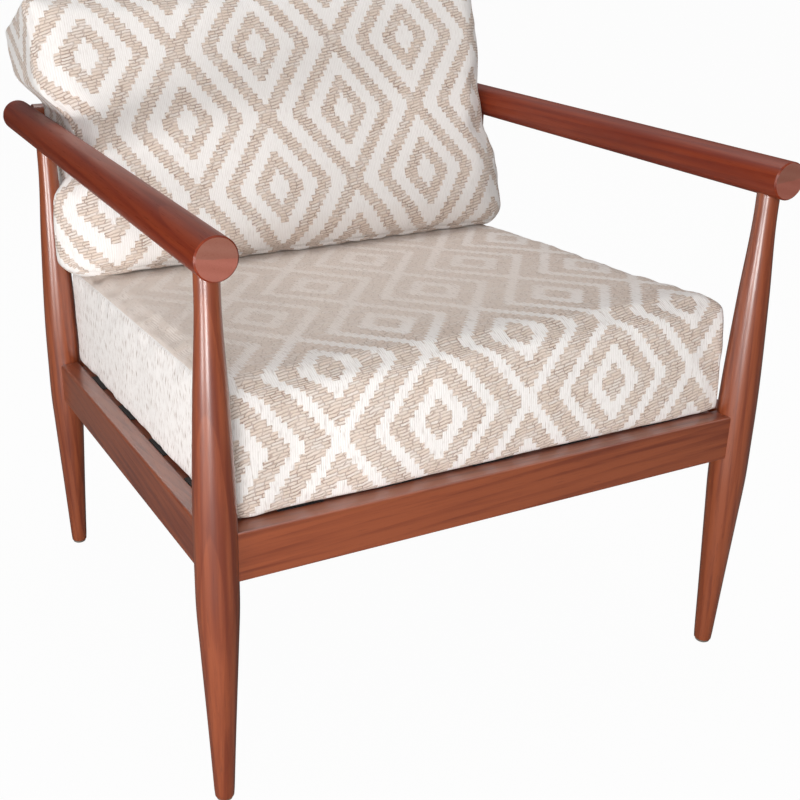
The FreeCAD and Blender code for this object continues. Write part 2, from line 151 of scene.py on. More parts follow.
class ChairStage(bpy.types.PropertyGroup):
    """Camera, floor and lamps"""
    camera_place: bpy.props.FloatVectorProperty(
        name="Camera", description="Where the camera stands", default=(-0.6484, -1.2419, 0.8674),
        subtype="TRANSLATION", unit="LENGTH", size=3)
    heading: amount(24.92, "Heading", "Degrees the camera turns right of straight at the chair")
    pitch: amount(22.03, "Pitch", "Degrees the camera looks down")
    roll: amount(-0.24, "Roll", "Degrees the camera leans")
    lens: amount(52.42, "Lens", "Focal length on a 36 mm frame")
    shift_x: amount(0.126, "Shift right", "Sideways shift of the frame")
    shift_y: amount(-0.0468, "Shift up", "Upward shift of the frame")
    floor: colour((206, 204, 202), "Floor", "Colour of the floor")
    world: amount(0.27, "Surround", "Strength of the light from all round")
    key: amount(35.0, "Key lamp", "Watts of the large lamp")
    low: amount(14.0, "Low lamp", "Watts of the small lamp near the floor in front")
    side: amount(15.0, "Side lamp", "Watts of the small lamp near the floor on the left")
    top: amount(22.0, "Top lamp", "Watts of the lamp overhead")
    fill: amount(4.0, "Fill lamp", "Watts of the lamp on the right")


def linear(value):
    """A property's colour as a shader takes it."""
    return (*Color(value).from_srgb_to_scene_linear(), 1.0)


def wood():
    return bpy.context.scene.chair_wood


def cloth():
    return bpy.context.scene.chair_cloth


# Values in a node tree, written as plain sums

class Wire:
    """One value in a node tree."""

    def __init__(self, tree, socket):
        self.tree = tree
        self.socket = socket

    def math(self, operation, *others):
        return wire(self.tree, "ShaderNodeMath", enumerate((self, *others)), operation=operation)

    def __add__(self, other):
        return self.math("ADD", other)

    def __sub__(self, other):
        return self.math("SUBTRACT", other)

    def __mul__(self, other):
        return self.math("MULTIPLY", other)

    def __truediv__(self, other):
        return self.math("DIVIDE", other)

    def between(self, low, high):
        return self.math("GREATER_THAN", low) * self.math("LESS_THAN", high)

    def ease(self, low, high):
        """0 below low, 1 above high, smooth between."""
        values = enumerate((self, low, high, 0.0, 1.0))
        return wire(self.tree, "ShaderNodeMapRange", values, interpolation_type="SMOOTHSTEP")


def feed(tree, socket, value):
    """Links a wire or another node's socket to a socket, or sets the socket's own value."""
    if isinstance(value, Wire):
        value = value.socket
    if isinstance(value, bpy.types.NodeSocket):
        tree.links.new(value, socket)
    else:
        socket.default_value = value


def add_node(tree, kind, values=(), **settings):
    """A new node with its settings, and with values or links on its inputs."""
    made = tree.nodes.new(kind)
    for name, value in settings.items():
        setattr(made, name, value)
    for place, value in dict(values).items():
        feed(tree, made.inputs[place], value)
    return made


def wire(tree, kind, values=(), out=0, **settings):
    """One output of a new node."""
    return Wire(tree, add_node(tree, kind, values, **settings).outputs[out])


def split(vector):
    made = add_node(vector.tree, "ShaderNodeSeparateXYZ", {0: vector})
    return [Wire(vector.tree, socket) for socket in made.outputs]


def join(x, y=0.0, z=0.0):
    return wire(x.tree, "ShaderNodeCombineXYZ", enumerate((x, y, z)))


def cloudy(x, y, z=0.0, detail=2.0):
    """Soft noise. The factors on x, y and z say how fine it is, in cells per metre."""
    return wire(x.tree, "ShaderNodeTexNoise", {"Vector": join(x, y, z), "Scale": 1.0, "Detail": detail})


def chance(x, y):
    """A value from 0 to 1 that differs from cell to cell."""
    return wire(x.tree, "ShaderNodeTexWhiteNoise", {"Vector": join(x, y)}, noise_dimensions="2D")


def mixed(share, first, second):
    """A colour between two others, which are the mix node's inputs 6 and 7 and its output 2."""
    return wire(share.tree, "ShaderNodeMix", {0: share, 6: first, 7: second}, 2, data_type="RGBA")


def bump(height, strength, distance):
    values = {"Height": height, "Strength": strength, "Distance": distance}
    return wire(height.tree, "ShaderNodeBump", values)


def highest(wires):
    return functools.reduce(lambda one, other: one.math("MAXIMUM", other), wires)


def seen_by(tree, *kinds):
    """1 for rays of the given kinds and 0 for others."""
    return highest([wire(tree, "ShaderNodeLightPath", out="Is %s Ray" % kind) for kind in kinds])


def add_socket(tree, name, kind, default=None, out=False):
    """Adds an input or an output to a node group."""
    made = tree.interface.new_socket(
        name, in_out="OUTPUT" if out else "INPUT", socket_type="NodeSocket" + kind)
    if default is not None:
        made.default_value = default


def new_group(name, inputs, outputs):
    """An empty shader group, with its inputs as wires and a function that ends it."""
    tree = bpy.data.node_groups.new(name, "ShaderNodeTree")
    for label, *kind_and_default in inputs:
        add_socket(tree, label, *kind_and_default)
    for label, kind in outputs:
        add_socket(tree, label, kind, out=True)
    entry = tree.nodes.new("NodeGroupInput")
    wires = {label: Wire(tree, entry.outputs[label]) for label, *_ in inputs}

    def finish(**values):
        add_node(tree, "NodeGroupOutput", values)
        return tree

    return wires, finish


def grain_group():
    """Lacquered wood, cut through growth rings round an axis near the grain's own z."""
    if "wood_grain" in bpy.data.node_groups:
        return bpy.data.node_groups["wood_grain"]
    wires, finish = new_group(
        "wood_grain",
        [("Vector", "Vector"), ("Light", "Color"), ("Main", "Color"), ("Dark", "Color"),
         ("Ring", "Float", 0.009), ("Lean", "Float", 0.06), ("Figure", "Float", 0.55)],
        [("Color", "Color"), ("Height", "Float"), ("Gloss", "Float")])
    x, y, z = split(wires["Vector"])
    wander = cloudy(x * 9.0, y * 9.0, z * 2.2, 3.0) - 0.5
    off_x = x + z * wires["Lean"] + wander * 0.02 + 0.045
    off_y = y + wander * 0.012 - 0.03
    distance = (off_x * off_x + off_y * off_y).math("SQRT")
    ring = (distance / wires["Ring"]).math("FRACT")
    late = ring.ease(0.35, 0.92) - ring.ease(0.94, 1.0)
    fibre = cloudy(x * 1300.0, y * 1300.0, z * 26.0)
    streak = cloudy(x * 170.0, y * 170.0, z * 4.0, 3.0)
    pore = cloudy(x * 900.0, y * 900.0, z * 38.0, 1.0).ease(0.64, 0.74)
    patch = cloudy(x * 12.0, y * 12.0, z * 3.0)
    tone = late * wires["Figure"] * 0.3 + streak.ease(0.3, 0.75) * 0.3 + fibre * 0.2
    tone = tone + patch.ease(0.3, 0.8) * 0.35
    body = mixed(tone.ease(0.2, 0.75), wires["Light"], wires["Main"])
    deep = tone.ease(0.6, 1.3) * 0.7 + pore * 0.25
    grain = mixed(deep, body, wires["Dark"])
    return finish(Color=grain, Height=fibre * 0.3 - pore * 0.7, Gloss=fibre * 0.08 + pore * 0.1 + 0.36)


def weave_group():
    """Cloth with rows of stepped lozenges. The vector is in metres: across the cloth, then up it."""
    if "lozenge_weave" in bpy.data.node_groups:
        return bpy.data.node_groups["lozenge_weave"]
    sizes = cloth()
    wires, finish = new_group(
        "lozenge_weave",
        [("Vector", "Vector"), ("White", "Color"), ("Beige", "Color"), ("Gap", "Color"),
         ("Rubbed", "Color"), ("Contrast", "Float", 1.0),
         ("Core", "Float", 0.245), ("Inner Ring", "Float", 0.54), ("Outer Ring", "Float", 0.85),
         ("Edge", "Float", 1.15), ("Swap", "Float", 0.0), ("Fibre", "Float", 0.15)],
        [("Color", "Color"), ("Height", "Float")])
    u, v, _ = split(wires["Vector"])
    stray = cloudy(u * 420.0, v * 420.0, detail=1.0) - 0.5
    step_v = ((v / sizes.step).math("FLOOR") + 0.5) * sizes.step
    near_u = (u + stray * 0.0024).math("PINGPONG", sizes.half_period)
    near_v = step_v.math("PINGPONG", sizes.half_pitch)
    here = near_u / sizes.lozenge + near_v / sizes.half_pitch
    far_u = (near_u - sizes.half_period).math("ABSOLUTE")
    far_v = (near_v - sizes.half_pitch).math("ABSOLUTE")
    there = far_u / sizes.lozenge + far_v / sizes.half_pitch
    bounds = ("Core", "Inner Ring"), ("Outer Ring", "Edge")
    pattern = highest([
        reach.between(wires[low], wires[high]) for reach in (here, there) for low, high in bounds])
    pattern = (pattern - wires["Swap"]).math("ABSOLUTE")

    drift = cloudy(u * 60.0, v * 60.0) - 0.5
    slant = (v - u * 0.16 + stray * 0.0012 + drift * 0.004) / sizes.row
    row = slant.math("FLOOR")
    across = slant.math("FRACT") - 0.5
    along = (u + drift * 0.02) / sizes.dash + chance(row, 3.0) * 7.0
    cell = along.math("FLOOR")
    place = along.math("FRACT") - 0.5
    tone = chance(cell, row)
    hump = across.math("ABSOLUTE").ease(0.5, 0.16) * place.math("ABSOLUTE").ease(0.5, 0.4)
    thread = mixed(tone * tone * 0.45, wires["Beige"], wires["White"])
    # Painted shade between the threads, where they dip
    thread = mixed(hump.ease(0.9, 0.0) * (drift * 1.6 + 0.65) * 0.85, thread, wires["Gap"])
    # Painted sheen: where Contrast is low, the threads fade to the Rubbed colour
    thread = mixed(wires["Contrast"] * -0.75 + 0.75, thread, wires["Rubbed"])

    rib = ((u + stray * 0.0012) * 2600.0).math("SINE")
    slub = cloudy(u * 620.0, v * 70.0)
    # Painted sheen: where Contrast is low, the ground fades to the Rubbed colour too
    ground = mixed(wires["Contrast"], wires["Rubbed"], wires["White"])
    # Painted shade in the grooves between the ribs, plus the slub streaks that the yarn really has; both
    # darken towards the Gap colour
    shade = rib.ease(0.2, -1.0) * 0.12 + slub.ease(0.52, 0.74) * wires["Fibre"]
    ground = mixed(shade, ground, wires["Gap"])
    ground_height = rib * 0.12 + slub * 0.35
    whole = mixed(pattern, ground, thread)
    height = hump * pattern * (tone * 0.3 + 0.8) + ground_height * (pattern * -1.0 + 1.0)
    return finish(Color=whole, Height=height)


def new_material(name):
    material = bpy.data.materials.new(name)
    material.use_nodes = True
    return material, material.node_tree, material.node_tree.nodes["Principled BSDF"]


def set_inputs(node, **values):
    """Links or sets a node's inputs. An underscore stands for a space."""
    for label, value in values.items():
        feed(node.id_data, node.inputs[label.replace("_", " ")], value)


def place_group(tree, group, **values):
    """A group's outputs by name."""
    made = add_node(tree, "ShaderNodeGroup", node_tree=group)
    set_inputs(made, **values)
    return {socket.name: Wire(tree, socket) for socket in made.outputs}


def object_vector(tree, turn=(0, 0, 0)):
    """Object coordinates, turned so that the grain runs along z."""
    source = wire(tree, "ShaderNodeTexCoord", out="Object")
    return wire(tree, "ShaderNodeMapping", {"Vector": source, "Rotation": turn})


def cloth_vector(tree, shift=(0, 0, 0)):
    """The piece's own cloth coordinates, in metres."""
    source = wire(tree, "ShaderNodeUVMap", uv_map="cloth")
    return wire(tree, "ShaderNodeMapping", {"Vector": source, "Location": shift})


GRAIN_TURNS = {"up": (0, 0, 0), "across": (0, QUARTER, 0), "along": (QUARTER, 0, 0)}


def wood_material(name, run, light, main, dark, figure=0.55, coat=1.0, shine=0.5):
    """Lacquered wood whose grain runs up, across or along the chair."""
    if name in bpy.data.materials:
        return bpy.data.materials[name]
    material, tree, shader = new_material(name)
    out = place_group(
        tree, grain_group(), Vector=object_vector(tree, GRAIN_TURNS[run]), Light=linear(light),
        Main=linear(main), Dark=linear(dark), Figure=figure)
    set_inputs(
        shader, Base_Color=out["Color"], Roughness=out["Gloss"], Specular_IOR_Level=shine,
        Coat_Weight=coat, Coat_Roughness=0.26, Coat_IOR=1.65,
        Normal=bump(out["Height"], 0.12, 0.0004))
    return material


def end_grain_material(name, tint):
    """End grain of an arm: fine pores, faint growth rings, thinner lacquer."""
    material, tree, shader = new_material(name)
    x, y, z = split(object_vector(tree))
    speck = cloudy(x * 1400.0, z * 1400.0, y * 20.0)
    wander = cloudy(x * 60.0, z * 60.0, y)
    ring = ((z * 520.0 + x * 130.0 + wander * 2.5).math("SINE") * 0.5 + 0.5) * 0.18
    share = speck.ease(0.5, 0.75) * 0.3 + ring
    set_inputs(
        shader, Base_Color=mixed(share, linear(tint), linear(wood().mid)),
        Roughness=speck * 0.15 + 0.36, Coat_Weight=0.15, Coat_Roughness=0.3,
        Normal=bump(speck, 0.12, 0.0003))
    return material


def frame_wood(run):
    shades = wood()
    return wood_material("frame_wood_" + run, run, shades.light, shades.mid, shades.dark)


def weave_material(name, shift, worn=None, **values):
    """Woven cloth on the piece's own cloth coordinates, with painted sheen that fades the pattern into one
    flat colour where the given attribute is low.
    """
    material, tree, shader = new_material(name)
    yarn = cloth()
    if worn:
        values["Contrast"] = wire(tree, "ShaderNodeAttribute", out="Fac", attribute_name=worn)
    out = place_group(
        tree, weave_group(), Vector=cloth_vector(tree, shift), White=linear(yarn.white),
        Beige=linear(yarn.beige), Gap=linear(yarn.gap), Rubbed=linear(yarn.rubbed), **values)
    set_inputs(
        shader, Base_Color=out["Color"], Roughness=0.86, Specular_IOR_Level=0.2, Sheen_Weight=0.12,
        Sheen_Roughness=0.5, Normal=bump(out["Height"], 0.7, 0.0011))
    return material


def webbing_material():
    """Black elastic webbing: cords along it, a fine weave across it."""
    material, tree, shader = new_material("black_webbing")
    u, v, _ = split(cloth_vector(tree))
    cord = (v * 1570.0).math("SINE")
    pick = (u * 2600.0 + cord * 0.8).math("SINE")
    fuzz = cloudy(u * 900.0, v * 900.0)
    share = cord.ease(-0.4, 1.0) * 0.1 + pick.ease(0.0, 1.0) * 0.06 + fuzz * 0.08
    set_inputs(
        shader, Base_Color=mixed(share, linear(cloth().webbing), (0.35, 0.34, 0.34, 1)),
        Roughness=fuzz * 0.2 + 0.55, Normal=bump(cord * 0.6 + pick * 0.25, 0.5, 0.0006))
    return material


def felt_material():
    material, tree, shader = new_material("glide_felt")
    x, y, z = split(object_vector(tree))
    fuzz = cloudy(x * 900.0, y * 900.0, z * 1600.0, 3.0)
    pale = mixed(fuzz.ease(0.3, 0.8) * 0.6, linear(wood().felt), (0.35, 0.31, 0.27, 1))
    set_inputs(shader, Base_Color=pale, Roughness=0.95, Normal=bump(fuzz, 0.8, 0.0006))
    return material


def tape_material():
    """Herringbone zip tape."""
    material, tree, shader = new_material("zip_tape_weave")
    x, y, z = split(object_vector(tree))
    rib = (x * 3800.0 + (z * 2200.0).math("PINGPONG", 3.1)).math("SINE")
    fuzz = cloudy(x * 1200.0, y * 400.0, z * 1200.0)
    share = rib.ease(-0.2, 1.0) * 0.3 + fuzz * 0.15
    set_inputs(
        shader, Base_Color=mixed(share, linear(cloth().tape), linear(cloth().gap)),
        Roughness=0.85, Normal=bump(rib, 0.4, 0.0003))
    return material


def thread_material():
    """Twisted sewing thread."""
    material, tree, shader = new_material("seat_thread")
    x, _, z = split(object_vector(tree))
    twist = ((x + z) * 9000.0).math("SINE").ease(-1.0, 1.0) * 0.3
    set_inputs(
        shader, Base_Color=mixed(twist, linear(cloth().white), linear(cloth().gap)), Roughness=0.7)
    return material


def zip_metal_material():
    """Dull brassy metal with darker smeared patches."""
    if "zip_metal_worn" in bpy.data.materials:
        return bpy.data.materials["zip_metal_worn"]
    material, tree, shader = new_material("zip_metal_worn")
    x, y, z = split(object_vector(tree))
    smear = cloudy(x * 500.0, y * 500.0, z * 500.0, 3.0)
    dull = mixed(smear.ease(0.45, 0.75) * 0.5, linear(cloth().metal), (0.12, 0.09, 0.05, 1))
    set_inputs(
        shader, Base_Color=dull, Roughness=smear * 0.3 + 0.25, Metallic=1.0,
        Normal=bump(smear, 0.1, 0.0002))
    return material


# Meshes

def put(name, data):
    """A new object in the scene."""
    made = bpy.data.objects.new(name, data)
    bpy.context.scene.collection.objects.link(made)
    return made


def new_piece(name, shell, materials, face_materials=None, crisp=35):
    """A mesh object with smooth sides and crisp corners, from a shell's vertices and faces."""
    vertices, faces = shell
    mesh = bpy.data.meshes.new(name)
    mesh.from_pydata([tuple(vertex) for vertex in vertices], [], faces)
    for material in materials:
        mesh.materials.append(material)
    if face_materials is not None:
        mesh.polygons.foreach_set("material_index", face_materials)
    mesh.update()
    mesh.shade_smooth()
    mesh.set_sharp_from_angle(angle=math.radians(crisp))
    return put(name, mesh)


def settle(piece, body, slot, *nodes):
    """Gives a piece its body and hides the solids that it stands for. The slot, its finish, is not used.
    """
    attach(piece, body)
    if nodes:
        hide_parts(*nodes)


def smooth_profile(stations, count):
    """(height, radius) pairs along a smooth curve through the given ones."""
    heights, radii = np.array(stations).T
    slopes = np.gradient(radii, heights)
    result = []
    for height in np.linspace(heights[0], heights[-1], count):
        index = min(int(np.searchsorted(heights, height, side="right")) - 1, len(heights) - 2)
        run = heights[index + 1] - heights[index]
        t = (height - heights[index]) / run
        radius = (
            (2 * t ** 3 - 3 * t ** 2 + 1) * radii[index]
            + (t ** 3 - 2 * t ** 2 + t) * run * slopes[index]
            + (3 * t ** 2 - 2 * t ** 3) * radii[index + 1]
            + (t ** 3 - t ** 2) * run * slopes[index + 1])
        result.append((float(height), float(radius)))
    return result


def skin(rings):
    """The shell of a tube through rings of points, closed at both ends."""
    count = len(rings[0])
    vertices = [point for ring in rings for point in ring]
    faces = []
    for start in range(0, len(vertices) - count, count):
        for step in range(count):
            here, beside = start + step, start + (step + 1) % count
            faces.append((here, beside, beside + count, here + count))
    faces.append(tuple(reversed(range(count))))
    faces.append(tuple(range(len(vertices) - count, len(vertices))))
    return vertices, faces


def merged(shells):
    """Several shells as one."""
    vertices, faces = [], []
    for more, sides in shells:
        faces += [tuple(index + len(vertices) for index in face) for face in sides]
        vertices += more
    return vertices, faces


def turned(profile, around):
    """The shell of a piece turned about z."""
    turns = [2 * math.pi * step / around for step in range(around)]
    return skin([
        [(radius * math.cos(turn), radius * math.sin(turn), height) for turn in turns]
        for height, radius in profile])


def rounded_ends(profile, low, high):
    """The profile with its two ends rounded over by the given radii."""
    (start, first), (end, last) = profile[0], profile[-1]
    steps = [math.radians(angle) for angle in (0, 30, 60)]
    foot = [(start + low * (1 - math.cos(a)), first - low * (1 - math.sin(a))) for a in steps]
    tip = [(end - high * (1 - math.cos(a)), last - high * (1 - math.sin(a))) for a in reversed(steps)]
    inner = [pair for pair in profile if start + low <= pair[0] <= end - high]
    return foot + inner + tip


def moved(shell, place):
    vertices, faces = shell
    return [place @ Vector(vertex) for vertex in vertices], faces


def over(node):
    """From the origin to straight above or below the middle of a node."""
    middle = box_middle(node)
    return Matrix.Translation((middle.x, middle.y, 0))


class CHAIR_OT_legs(bpy.types.Operator):
    """Turn the four legs"""
    bl_idname = "chair.legs"
    bl_label = "Turned legs"

    # The belly's ends above the rear rail's foot and the front rail's top, and the straight neck's
    # ends below the arm's axis
    belly_ends = (0.0045, 0.006)
    belly_taper = 0.995
    neck_ends = (0.04, 0.012)
    foot_round = 0.0018
    top_round = 0.001

    def execute(self, context):
        sizes = wood()
        belly_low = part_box("rear_rail")[0].z + self.belly_ends[0]
        belly_high = RAIL_HIGH.z + self.belly_ends[1]
        neck_low, neck_high = (ARM_LOW.z - end for end in self.neck_ends)
        for corner in CORNERS:
            node = corner + "_leg"
            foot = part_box(node)[0].z
            run = belly_low - foot
            profile = smooth_profile([
                (foot, sizes.foot / 2),
                (foot + 0.38 * run, sizes.shin / 2),
                (foot + 0.8 * run, sizes.calf / 2),
                (belly_low, sizes.belly / 2 * self.belly_taper),
                ((belly_low + belly_high) / 2, sizes.belly / 2),
                (belly_high, sizes.belly / 2 * self.belly_taper),
                (belly_high + 0.58 * (neck_low - belly_high), sizes.thigh / 2),
                (neck_low, sizes.neck / 2),
                (neck_high, sizes.neck / 2),
            ], 64)
            shell = turned(rounded_ends(profile, self.foot_round, self.top_round), 56)
            piece = new_piece(corner + "_turned_leg", moved(shell, over(node)), [frame_wood("up")])
            settle(piece, "frame", "frame_wood", node)
        return {"FINISHED"}


class CHAIR_OT_arms(bpy.types.Operator):
    """Make the two round arms, each glued up from two halves"""
    bl_idname = "chair.arms"
    bl_label = "Round arms"

    # The glue line: shares of the radius from the outer side to the inner side, and its rise in metres
    line_shares = (-1.0, -0.45, -0.06, 0.02, 0.3, 1.0)
    line_rises = (0.0030, 0.0012, -0.0003, 0.0004, 0.0, -0.0014)
    groove = 0.0002

    def half_section(self, radius, upper, side):
        """One half's outline round the arm's axis, anticlockwise seen from the rear."""
        xs = np.linspace(-1, 1, 15)
        rise = np.interp(xs * -side, self.line_shares, self.line_rises)
        start = math.asin(rise[-1] / radius)
        end = math.pi - math.asin(rise[0] / radius)
        sweep = np.linspace(start, end, 33) if upper else np.linspace(end, start + 2 * math.pi, 33)
        reach = np.full(len(sweep), radius)
        reach[[0, -1]] -= self.groove
        arc = [(out * math.cos(angle), out * math.sin(angle)) for out, angle in zip(reach, sweep)]
        line = [(x * radius, z) for x, z in zip(xs, rise)][1:-1]
        return arc + (line if upper else line[::-1])

    def half(self, side, upper):
        """The shell of one half of one arm. The last two faces are its ends."""
        chamfer = wood().end_chamfer
        axis = Vector((math.copysign(box_middle("left_arm_upper").x, side), 0, ARM_LOW.z))
        radius = ARM_HIGH.z - ARM_LOW.z
        near, far = ARM_LOW.y, ARM_HIGH.y
        runs = [near, near + chamfer, *np.linspace(near, far, 14)[1:-1], far - chamfer, far]
        section = self.half_section(radius, upper, side)
        rings = []
        for run in runs:
            shrink = (radius - chamfer) / radius if run in (near, far) else 1.0
            rings.append([axis + Vector((x * shrink, run, z * shrink)) for x, z in section])
        return skin(rings[::-1])

    def execute(self, context):
        shades = wood()
        for half_name, tint in (("upper", shades.end_upper), ("lower", shades.end_lower)):
            side_wood = wood_material(
                "round_arm_" + half_name, "along", shades.arm_light, shades.arm_mid, shades.arm_dark,
                figure=0.8, coat=0.12, shine=0.25)
            end_wood = end_grain_material("arm_end_" + half_name, tint)
            for side, side_name in ((-1, "left"), (1, "right")):
                shell = self.half(side, half_name == "upper")
                finishes = [0] * (len(shell[1]) - 2) + [1, 1]
                name = "%s_arm_%s" % (side_name, half_name)
                piece = new_piece(name + "_half", shell, [side_wood, end_wood], finishes)
                settle(piece, "frame", "arm_%s_wood" % half_name, name)
        return {"FINISHED"}


class CHAIR_OT_back_frame(bpy.types.Operator):
    """Turn the crossbar and the spindles of the back"""
    bl_idname = "chair.back_frame"
    bl_label = "Crossbar and spindles"

    # How far the crossbar runs into the arms, and the spindles' ends and their straight lengths
    into_arm = 0.006
    foot_rise = 0.012
    tip_sink = 0.004
    straight = 0.02

    def execute(self, context):
        sizes = wood()
        low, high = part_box("back_crossbar")
        radius = (high.z - low.z) / 2
        reach = abs(ARM_HIGH.x) + self.into_arm
        shell = turned([(run, radius) for run in np.linspace(-reach, reach, 24)], 48)
        place = Matrix.Translation(BAR_MIDDLE) @ Matrix.Rotation(QUARTER, 4, "Y")
        piece = new_piece("turned_crossbar", moved(shell, place), [frame_wood("across")])
        settle(piece, "frame", "frame_wood", "back_crossbar")
        tip = -radius + self.tip_sink
        upright = Matrix.Rotation(-QUARTER, 4, "X")
        for number in range(1, 7):
            node = "spindle_%d" % number
            foot = (BACK.inverted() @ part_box(node)[0]).y + self.foot_rise
            profile = smooth_profile([
                (foot, sizes.spindle_end / 2),
                (foot + self.straight, sizes.spindle_end / 2),
                (foot + 0.45 * (tip - foot), sizes.spindle / 2),
                (tip - self.straight, sizes.spindle_end / 2),
                (tip, sizes.spindle_end / 2),
            ], 28)
            place = BACK @ Matrix.Translation((box_middle(node).x, 0, 0)) @ upright
            piece = new_piece("turned_" + node, moved(turned(profile, 28), place), [frame_wood("up")])
            settle(piece, "frame", "frame_wood", node)
        return {"FINISHED"}


class CHAIR_OT_rails(bpy.types.Operator):
    """Finish the rails and cleats, and make the felt glides"""
    bl_idname = "chair.rails"
    bl_label = "Rails, cleats and glides"

    glide_radius = 0.0085

    def execute(self, context):
        for side, run in (("front", "across"), ("rear", "across"), ("left", "along"), ("right", "along")):
            for kind in ("rail", "cleat"):
                node = frame["nodes"]["%s_%s" % (side, kind)]
                if not node.material_slots:
                    node.data.materials.append(None)
                for slot in node.material_slots:
                    slot.material = frame_wood(run)
        low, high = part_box("leg_glides")
        radius = self.glide_radius
        shell = turned([
            (low.z, radius - 0.0007), (low.z + 0.0006, radius),
            (high.z - 0.0004, radius), (high.z, radius - 0.0003),
        ], 40)
        shells = [moved(shell, over(corner + "_leg")) for corner in CORNERS]
        piece = new_piece("felt_glides", merged(shells), [felt_material()])
        settle(piece, "frame", "felt", "leg_glides")
        return {"FINISHED"}


class CHAIR_OT_webbing(bpy.types.Operator):
    """Weave the black straps and fix their ends with staples"""
    bl_idname = "chair.webbing"
    bl_label = "Webbing and staples"

    sink = 0.0025
    lift = 0.0012
    wide = 0.050
    thick = 0.0020
    edge = 0.0008
    clear = 0.002
    segment = 0.006
    # Two staples at each end: their distance from the strap's end and from its middle
    staple_in = 0.007
    staple_off = (-0.013, 0.013)

    def strap(self, length, crossings, first):
        """A ribbon along x with rounded edges, over and under at each crossing."""
        runs = np.linspace(0, length, int(length / self.segment))
        reach = self.wide / 2
        levels = [(0.0, 0.0)]
        for number, centre in enumerate(crossings):
            level = self.lift * first * (-1) ** number
            levels += [(centre - reach - self.clear, level), (centre + reach + self.clear, level)]
        levels.append((length, 0.0))
        rise = np.interp(runs, *np.transpose(levels))
        half = self.thick / 2
        top = [(y, half) for y in np.linspace(reach - self.edge, self.edge - reach, 9)]
        section = top + [(-reach, 0.0)] + [(y, -half) for y, _ in reversed(top)] + [(reach, 0.0)]
        return skin([[(run, y, level + z) for y, z in section] for run, level in zip(runs, rise)])

    def lay(self, node, place, length, crossings, first, material):
        shell = self.strap(length, crossings, first)
        piece = new_piece(node + "_ribbon", moved(shell, SEAT @ place), [material], crisp=50)
        layer = piece.data.uv_layers.new(name="cloth")
        for loop in piece.data.loops:
            layer.data[loop.index].uv = shell[0][loop.vertex_index][:2]
        settle(piece, "frame", "webbing", node)

    def execute(self, context):
        material = webbing_material()
        into = SEAT.inverted()
        long_spots = [box_middle("long_strap_%d" % number).x for number in range(1, 6)]
        cross_spots = [(into @ box_middle("cross_strap_%d" % number)).y for number in range(1, 5)]
        low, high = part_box("long_strap_1")
        start = (into @ Vector((0, low.y, high.z))).y
        end = (into @ Vector((0, high.y, low.z))).y
        for number, x in enumerate(long_spots, start=1):
            place = Matrix.Translation((x, start, -self.sink)) @ Matrix.Rotation(QUARTER, 4, "Z")
            self.lay("long_strap_%d" % number, place, end - start, [y - start for y in cross_spots],
                     (-1) ** number, material)
        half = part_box("cross_strap_1")[1].x
        for number, y in enumerate(cross_spots, start=1):
            place = Matrix.Translation((-half, y, -self.sink))
            self.lay("cross_strap_%d" % number, place, 2 * half, [x + half for x in long_spots],
                     -(-1) ** number, material)
        top = -self.sink + self.thick / 2
        spots = []
        for x in long_spots:
            for y in (start + self.staple_in, end - self.staple_in):
                spots += [(x + shift, y, top, 0.0) for shift in self.staple_off]
        for y in cross_spots:
            for x in (-half + self.staple_in, half - self.staple_in):
                spots += [(x, y + shift, top, QUARTER) for shift in self.staple_off]
        settle(staples(spots), "frame", "zip_metal")
        return {"FINISHED"}


# Geometry Nodes

def geometry_tree(name, inputs):
    """A Geometry Nodes tree with the given inputs and one output, and its input node's sockets."""
    tree = bpy.data.node_groups.new(name, "GeometryNodeTree")
    for label, kind in inputs:
        add_socket(tree, label, kind)
    add_socket(tree, "Geometry", "Geometry", out=True)
    return tree, tree.nodes.new("NodeGroupInput").outputs


def end_tree(tree, entry, placing):
    """Ends a tree with instances on points, turned into plain geometry with its finish."""
    placed = add_node(tree, "GeometryNodeInstanceOnPoints", placing)
    solid = add_node(tree, "GeometryNodeRealizeInstances", {0: placed.outputs[0]})
    coat = add_node(
        tree, "GeometryNodeSetMaterial", {"Geometry": solid.outputs[0], "Material": entry["Material"]})
    add_node(tree, "NodeGroupOutput", {0: coat.outputs[0]})
    return tree


def evaluated(piece):
    """The piece with its modifiers, as a plain mesh."""
    graph = bpy.context.evaluated_depsgraph_get()
    return bpy.data.meshes.new_from_object(piece.evaluated_get(graph))


def grown(name, mesh, tree, values):
    """The piece that a tree makes of a mesh in the seat's frame, as a plain mesh."""
    seed = put(name + "_seed", mesh)
    modifier = seed.modifiers.new("Nodes", "NODES")
    modifier.node_group = tree
    for item in tree.interface.items_tree:
        if item.in_out == "INPUT" and item.name in values:
            modifier[item.identifier] = values[item.name]
    result = evaluated(seed)
    bpy.data.objects.remove(seed)
    result.transform(SEAT)
    result.name = name
    return put(name, result)


STAPLE_CROWN = 0.0100
STAPLE_WIRE = 0.0009
STAPLE_LEG = (STAPLE_WIRE, STAPLE_WIRE, 0.0016)
STAPLE_LEG_PLACE = (0.0046, 0, -0.0007)
STAPLE_RISE = 0.0003


